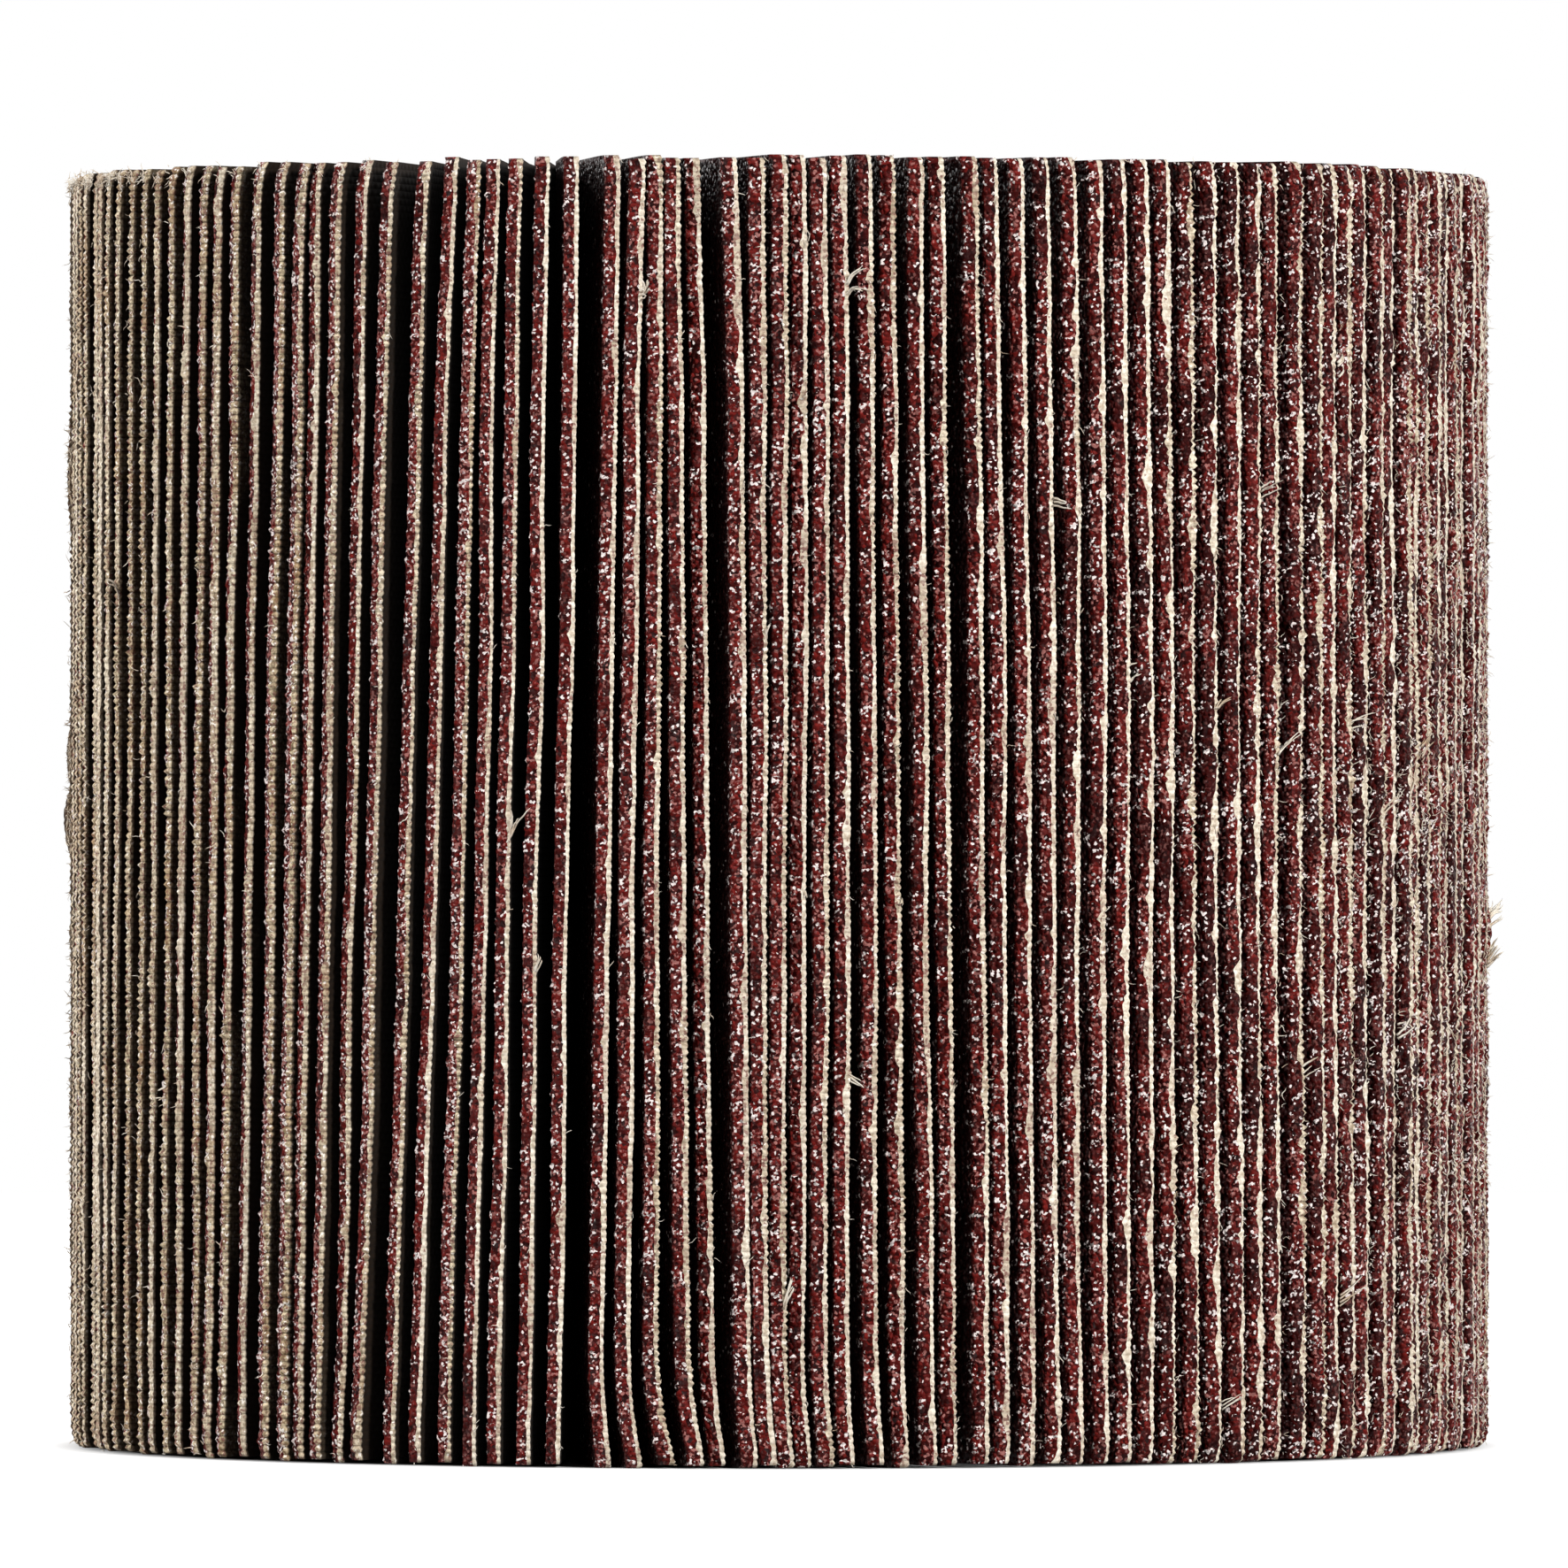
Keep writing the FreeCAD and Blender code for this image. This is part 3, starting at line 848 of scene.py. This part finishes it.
def make_flaps():
    """The flaps in sectors of a dozen, each flap a closed body with its two layers."""
    abrasive, cloth = flap_faces()
    face_finish = [0] * len(abrasive) + [1] * len(cloth)
    cap_count = ROW_COUNT * len(CAP)
    for sector in range(SECTOR_COUNT):
        points, faces = [], []
        layers = {"lay": [], "wear": [], "tone": [], "grain": []}
        start = 0
        for flap in range(sector * FLAPS_PER_SECTOR, (sector + 1) * FLAPS_PER_SECTOR):
            flap_points, lay = flap_mesh_points(flap)
            wear = np.zeros(len(flap_points))
            wear[:cap_count] = np.repeat(tip_wear[flap], len(CAP))
            tone = np.full(len(flap_points), tones[flap].mean())
            tone[:cap_count] = np.repeat(tones[flap], len(CAP))
            grain = np.zeros(len(flap_points))
            grain[:cap_count] = tip_shards[flap].ravel()
            points.append(flap_points)
            for layer, values in zip(layers.values(), (lay * MM, wear, tone, grain)):
                layer.append(values)
            faces += [[start + n for n in face] for face in abrasive + cloth]
            start += len(flap_points)
        name = "flaps_%02d" % (sector + 1)
        finish_numbers = face_finish * FLAPS_PER_SECTOR
        piece = new_piece(name, np.concatenate(points), faces, finish_numbers, (ABRASIVE, CLOTH), 60)
        for layer_name, values in layers.items():
            write_layer(piece.data, layer_name, np.concatenate(values))


make_flaps()

# The resin's ends: how far they lie inside the wheel's, the ripple round the roots
# and the unevenness of the casting
CORE_SUNK = 0.55
CORE_RIPPLE = 0.12
CORE_UNEVEN = 0.06


def make_core():
    """The cast resin ring, with a shallow dip round each flap's root at its ends."""
    around = 2 * FLAP_COUNT
    angles = np.arange(around) * 2 * math.pi / around
    profile = (
        (SLEEVE_R, 0.35),
        (SLEEVE_R + 0.8, CORE_SUNK - 0.1),
        (ROOT_R - 1.5, CORE_SUNK),
        (ROOT_R, CORE_SUNK + 0.1),
        (CORE_R - 0.5, CORE_SUNK + 0.25),
        (CORE_R, CORE_SUNK + 0.9),
    )
    ripple = np.where(np.arange(around) % 2 == 0, 1.0, -1.0)
    rings = list(profile)
    rings += [(CORE_R, WHEEL_WIDTH * k / 4) for k in (1, 2, 3)]
    rings += [(r, WHEEL_WIDTH - z) for r, z in reversed(profile)]
    count = len(rings)
    rng = np.random.default_rng(seed=21)
    points = []
    for number, (radius, height) in enumerate(rings):
        wave = CORE_RIPPLE * ripple if radius > ROOT_R - 2 else 0 * ripple
        inside = number not in (0, count - 1)
        lift = rng.uniform(-CORE_UNEVEN, CORE_UNEVEN, around) if inside else 0
        r = radius + wave
        ring = (r * np.cos(angles), r * np.sin(angles), height + lift + 0 * angles)
        points.append(np.stack(ring, -1))
    faces = []
    for number in range(count):
        here = number * around
        after = (number + 1) % count * around
        for step in range(around):
            beyond = (step + 1) % around
            faces.append([here + step, here + beyond, after + beyond, after + step])
    new_piece("resin_core", np.concatenate(points) * MM, faces, [0] * len(faces), (RESIN,), 70)


make_core()

COTTON = fibre_finish()
FUZZ_COUNT = 7000

# Threads that have come loose: azimuth in degrees, height, number of strands, length,
# and lean round, out and up
TUFTS = (
    (-11.5, 89.5, 9, 2.2, (0.5, 0.7, 0.3)),
    (-22.5, 48.0, 4, 4.2, (0.9, 0.3, 0.7)),
    (-18.9, 38.0, 3, 1.8, (0.6, 0.5, 0.9)),
    (4.7, 89.5, 6, 3.0, (0.5, 0.5, 1.0)),
    (0.8, 12.0, 6, 2.6, (0.3, 0.6, 1.0)),
    (5.0, 29.5, 3, 2.2, (0.9, 0.4, -0.9)),
    (-1.0, 63.0, 3, 1.8, (0.2, 0.6, 1.0)),
    (20.8, 73.3, 3, 1.5, (1.0, 0.5, 0.1)),
    (41.4, 74.6, 4, 2.2, (0.7, 0.6, 0.9)),
    (44.3, 54.0, 3, 3.0, (0.8, 0.4, 1.0)),
    (37.2, 57.9, 3, 1.6, (0.9, 0.4, 0.8)),
    (27.4, 60.4, 3, 1.4, (0.9, 0.5, 0.7)),
    (50.5, 84.0, 4, 2.8, (1.0, 0.5, 0.7)),
    (51.0, 12.3, 4, 2.6, (0.9, 0.6, 0.6)),
    (36.8, 4.6, 4, 1.9, (0.6, 0.7, 0.3)),
    (60.0, 52.0, 4, 2.2, (0.3, 0.6, 1.0)),
    (64.0, 54.5, 4, 2.2, (0.4, 0.6, 1.2)),
    (57.0, 49.5, 3, 2.0, (0.7, 0.6, 1.0)),
    (53.0, 57.0, 3, 2.0, (0.8, 0.5, 0.9)),
    (46.0, 30.0, 3, 1.8, (0.7, 0.6, 0.9)),
    (58.0, 33.0, 3, 1.8, (0.4, 0.8, 0.9)),
    (66.0, 70.0, 4, 1.8, (0.3, 0.7, 0.9)),
    (76.0, 76.0, 3, 1.0, (0.1, 0.5, 1.0)),
    (88.0, 41.3, 10, 2.1, (0.0, 0.75, 1.0)),
    (88.0, 38.3, 13, 2.1, (0.0, 0.85, 0.9)),
    (-66.0, 67.0, 4, 1.6, (0.4, 0.7, 0.8)),
    (-58.0, 28.0, 3, 1.4, (0.5, 0.7, -0.5)),
    (135.0, 60.0, 5, 2.4, (0.4, 0.7, 0.9)),
    (170.0, 28.0, 4, 2.6, (0.6, 0.6, -0.9)),
    (-140.0, 80.0, 5, 2.2, (0.5, 0.7, 0.8)),
    (-115.0, 22.0, 4, 2.1, (0.7, 0.5, 0.9)),
)
# Patches of fluff: azimuth, height, half its width in degrees and in millimetres,
# number of hairs and their length
FLUFF = (
    (-89, 76.8, 3, 2.6, 90, 0.6),
    (-89, 54.6, 3, 2.0, 80, 0.5),
    (-89, 49.4, 3, 1.8, 120, 0.5),
    (-84, 30.0, 6, 12.0, 110, 0.6),
    (-72, 99.4, 16, 0.5, 260, 0.8),
    (-40, 99.5, 14, 0.4, 90, 0.6),
    (60, 51.0, 6, 4.0, 120, 0.9),
    (52, 42.0, 8, 10.0, 100, 0.7),
    (70, 62.0, 9, 14.0, 200, 0.7),
    (66, 20.0, 12, 14.0, 180, 0.7),
    (88, 40.5, 3, 2.0, 110, 0.5),
    (88, 80.0, 5, 12.0, 40, 0.4),
    (150, 45.0, 10, 12.0, 160, 0.9),
    (-150, 60.0, 12, 15.0, 160, 0.9),
)
# Hairs and strands: where they spring from below the tip, their thickness, the steps
# along them, and how much they curl at each
HAIR_DEPTH = 0.12
HAIR_THICKNESS = (0.05, 0.11)
HAIR_STEPS, HAIR_CURL = 3, 0.4
STRAND_DEPTH = 0.15
STRAND_THICKNESS = (0.15, 0.28)
STRAND_STEPS, STRAND_CURL = 7, 0.15
# How far the strands of a wisp part, for their length
PARTING = 0.13
# A patch of fluff has most of its hairs within this share of its half width
FLUFF_SPREAD = 0.6


def flap_at(azimuth, height):
    """The flap and row nearest an azimuth in degrees and a height."""
    row = int(np.clip(round(height / WHEEL_WIDTH * (ROW_COUNT - 1)), 0, ROW_COUNT - 1))
    return int(np.argmin(np.abs(wrapped(lying[:, row] - azimuth)))), row


def tip_frame(flap, row):
    """Directions at a flap's tip: round the wheel, outward and along the axis."""
    x, y, _ = on_flap(0, 0)
    angle = root_angles[flap] + turns[flap, row] + math.atan2(y, x)
    out = np.array([math.cos(angle), math.sin(angle), 0])
    return np.array([-out[1], out[0], 0]), out, np.array([0, 0, 1.0])


def thread_path(rng, start, heading, length, steps, curl):
    """A thread's wandering path, in millimetres."""
    heading = heading / np.linalg.norm(heading)
    path = [start]
    for _ in range(steps):
        heading = heading + curl * rng.normal(size=3)
        heading = heading / np.linalg.norm(heading)
        path.append(path[-1] + heading * length / steps)
    return np.array(path)


def across_path(along, other):
    """Directions square to a path and to another direction, one long."""
    side = np.cross(along, other)
    return side / np.maximum(np.linalg.norm(side, axis=1), 1e-6)[:, None]


def thread_tube(path, thickness):
    """Points and faces of a thin three-sided thread that runs out to a point."""
    along = np.gradient(path, axis=0)
    side = across_path(along, (0.31, 0.17, 0.94))
    other = across_path(along, side)
    taper = np.linspace(1, 0.45, len(path))[:, None] * thickness / 2
    corners = [
        path + taper * (side * math.cos(a) + other * math.sin(a))
        for a in (0, 2 * math.pi / 3, 4 * math.pi / 3)
    ]
    points = np.stack(corners, 1)[:-1].reshape(-1, 3)
    points = np.concatenate([points, path[-1:]])
    faces = [[0, 2, 1]]
    for step in range(len(path) - 2):
        for corner in range(3):
            low, beside = 3 * step + corner, 3 * step + (corner + 1) % 3
            faces.append([low, beside, beside + 3, low + 3])
    last = 3 * (len(path) - 2)
    faces += [[last + k, last + (k + 1) % 3, len(points) - 1] for k in range(3)]
    return points, faces


def hair(rng, flap, row, length):
    """A short hair that springs from a flap's cut cloth, and its thickness."""
    across = rng.uniform(follow(lying[flap, row], CLOTH_FROM), HALF)
    root = to_wheel(flap, row, HAIR_DEPTH, across) / MM
    side, out, up = tip_frame(flap, row)
    heading = side * rng.uniform(-0.3, 0.5) + out * rng.uniform(0.05, 0.6) + up * rng.normal()
    path = thread_path(rng, root, heading, length, HAIR_STEPS, HAIR_CURL)
    return path, rng.uniform(*HAIR_THICKNESS)


def wisp(rng, azimuth, height, count, length, lean):
    """Strands that leave one spot together and part towards their ends."""
    flap, row = flap_at(azimuth, height)
    heading = sum(a * b for a, b in zip(lean, tip_frame(flap, row)))
    spine = thread_path(rng, np.zeros(3), heading, length, STRAND_STEPS, STRAND_CURL)
    share = np.linspace(0, 1, len(spine))[:, None]
    strands = []
    for _ in range(count):
        near = int(np.clip(row + rng.integers(-2, 3), 0, ROW_COUNT - 1))
        root = to_wheel(flap, near, STRAND_DEPTH, HALF - rng.uniform(0, 0.3)) / MM
        parting = PARTING * length * share**1.6 * rng.normal(size=3)
        path = root + spine * rng.uniform(0.6, 1.0) + parting
        strands.append((path, rng.uniform(*STRAND_THICKNESS)))
    return strands


def make_fibres():
    """Fuzz along the cut cloth, patches of fluff, and threads that have worked loose."""
    rng = np.random.default_rng(seed=31)
    ragged = follow(lying, RAGGED).mean(axis=1)
    paths = []
    for flap in rng.choice(FLAP_COUNT, FUZZ_COUNT, p=ragged / ragged.sum()):
        paths.append(hair(rng, flap, rng.integers(ROW_COUNT), rng.uniform(0.25, 0.9)))
    for azimuth, height, wide, tall, count, length in FLUFF:
        for _ in range(count):
            turned = azimuth + rng.normal() * wide * FLUFF_SPREAD
            raised = height + rng.normal() * tall * FLUFF_SPREAD
            paths.append(hair(rng, *flap_at(turned, raised), length * rng.uniform(0.4, 1.2)))
    for tuft in TUFTS:
        paths += wisp(rng, *tuft)
    points, faces, start = [], [], 0
    for path, thickness in paths:
        path[:, 2] = np.clip(path[:, 2], 0.15, WHEEL_WIDTH + 0.4)
        tube, sides = thread_tube(path, thickness)
        points.append(tube)
        faces += [[start + n for n in face] for face in sides]
        start += len(tube)
    new_piece("loose_fibres", np.concatenate(points) * MM, faces, [0] * len(faces), (COTTON,), 0)


make_fibres()

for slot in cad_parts["hub_sleeve"].material_slots:
    slot.material = NYLON


# Stage, lamps and camera, in metres

FLOOR_R = 1.0
FLOOR_SIDES = 96
FLOOR_GREY = (0.45, 0.45, 0.45, 1)
# How bright the floor glows near the wheel, where it is seen, and the distances from
# the axis between which that rises to full white
FLOOR_GLOW = 0.88
FULL_GLOW_FROM = 0.1
FULL_GLOW_AT = 0.3
# The world's level for the light it sheds, where it isn't seen
WORLD_DIM = 0.03
WHITE = (1, 1, 1, 1)
MIDDLE_HEIGHT = WHEEL_WIDTH * MM / 2
LAMP_DISTANCE = 1.2
# Lamps: name, azimuth and elevation in degrees, side, and level
LAMPS = (
    ("key_lamp", 31, 22, 0.2, 1.16),
    ("side_lamp", -82, 15, 0.35, 0.86),
    ("back_lamp", 150, 30, 0.4, 0.45),
    ("rear_lamp", -150, 30, 0.4, 0.5),
)


def when_seen(tree):
    """1 for what is seen, straight, in a gloss or through clear matter, and 0 otherwise."""
    path = put(tree, "ShaderNodeLightPath").outputs
    seen = larger(tree, path["Is Camera Ray"], path["Is Glossy Ray"])
    return larger(tree, seen, path["Is Transmission Ray"])


def make_floor():
    """A pale floor that shows white, keeps a soft shadow, and has a painted shadow under the wheel and
    round its foot.
    """
    finish, tree, surface, place = new_finish("pale_floor")
    feed_named(tree, surface, Base_Color=FLOOR_GREY, Roughness=0.9, Specular_IOR_Level=0.0)
    from_axis = vector_maths(tree, "LENGTH", place)["Value"]
    foot = WHEEL_R * MM
    # Painted shadow: the glow is off under the wheel and fades in over a ring round its foot
    glow_past_painted_foot_shadow = fade(tree, from_axis, foot - 3 * MM, foot + 2 * MM, 0.0, FLOOR_GLOW)
    far_floor = fade(tree, from_axis, FULL_GLOW_FROM, FULL_GLOW_AT, 0.0, 1.0 - FLOOR_GLOW)
    glow = times(tree, when_seen(tree), maths(tree, "ADD", glow_past_painted_foot_shadow, far_floor))
    light = put(tree, "ShaderNodeEmission", {"Color": WHITE, "Strength": glow})
    mixed = put(tree, "ShaderNodeAddShader", {0: surface.outputs[0], 1: light.outputs[0]})
    output = next(n for n in tree.nodes if n.type == "OUTPUT_MATERIAL")
    tree.links.new(mixed.outputs[0], output.inputs["Surface"])
    mesh = bpy.data.meshes.new("floor")
    angles = [2 * math.pi * k / FLOOR_SIDES for k in range(FLOOR_SIDES)]
    edge = [(FLOOR_R * math.cos(a), FLOOR_R * math.sin(a), 0) for a in angles]
    mesh.from_pydata(edge, [], [list(range(FLOOR_SIDES))])
    mesh.materials.append(finish)
    floor = bpy.data.objects.new("floor", mesh)
    bpy.context.scene.collection.objects.link(floor)


def make_world():
    """White where it is seen, and a dim even light otherwise."""
    world = bpy.data.worlds.new("studio")
    world.use_nodes = True
    tree = world.node_tree
    tree.nodes.clear()
    strength = spread(tree, when_seen(tree), WORLD_DIM, 1.0)
    back = put(tree, "ShaderNodeBackground", {"Color": WHITE, "Strength": strength})
    output = put(tree, "ShaderNodeOutputWorld")
    tree.links.new(back.outputs[0], output.inputs["Surface"])
    bpy.context.scene.world = world


def make_lamp(name, azimuth, elevation, side, level):
    """A square lamp that lights a facing white surface to the given level."""
    lamp = bpy.data.lights.new(name, "AREA")
    lamp.shape = "SQUARE"
    lamp.size = side
    lamp.energy = level * (math.pi * LAMP_DISTANCE) ** 2
    holder = bpy.data.objects.new(name, lamp)
    a, e = math.radians(azimuth), math.radians(elevation)
    away = Vector((math.sin(a) * math.cos(e), -math.cos(a) * math.cos(e), math.sin(e)))
    holder.location = Vector((0, 0, MIDDLE_HEIGHT)) + away * LAMP_DISTANCE
    holder.rotation_euler = away.to_track_quat("Z", "Y").to_euler()
    bpy.context.scene.collection.objects.link(holder)


def make_camera():
    """A long lens, level with the wheel's middle, that takes in the whole rim."""
    camera = bpy.data.cameras.new("camera")
    focal_px = RIM_HALF_PX * math.sqrt((VIEW_DISTANCE / WHEEL_R) ** 2 - 1)
    camera.sensor_width = SENSOR
    camera.lens = focal_px / PHOTO_SIDE * SENSOR
    camera.shift_x = (PHOTO_SIDE / 2 - AXIS_PX) / PHOTO_SIDE
    camera.shift_y = (MIDDLE_PX - PHOTO_SIDE / 2) / PHOTO_SIDE
    camera.clip_start = 0.05
    camera.clip_end = 20
    holder = bpy.data.objects.new("camera", camera)
    holder.location = (0, -VIEW_DISTANCE * MM, MIDDLE_HEIGHT)
    holder.rotation_euler = (math.pi / 2, 0, 0)
    bpy.context.scene.collection.objects.link(holder)
    bpy.context.scene.camera = holder


make_floor()
make_world()
for lamp in LAMPS:
    make_lamp(*lamp)
make_camera()
bpy.context.scene.view_settings.view_transform = "Standard"
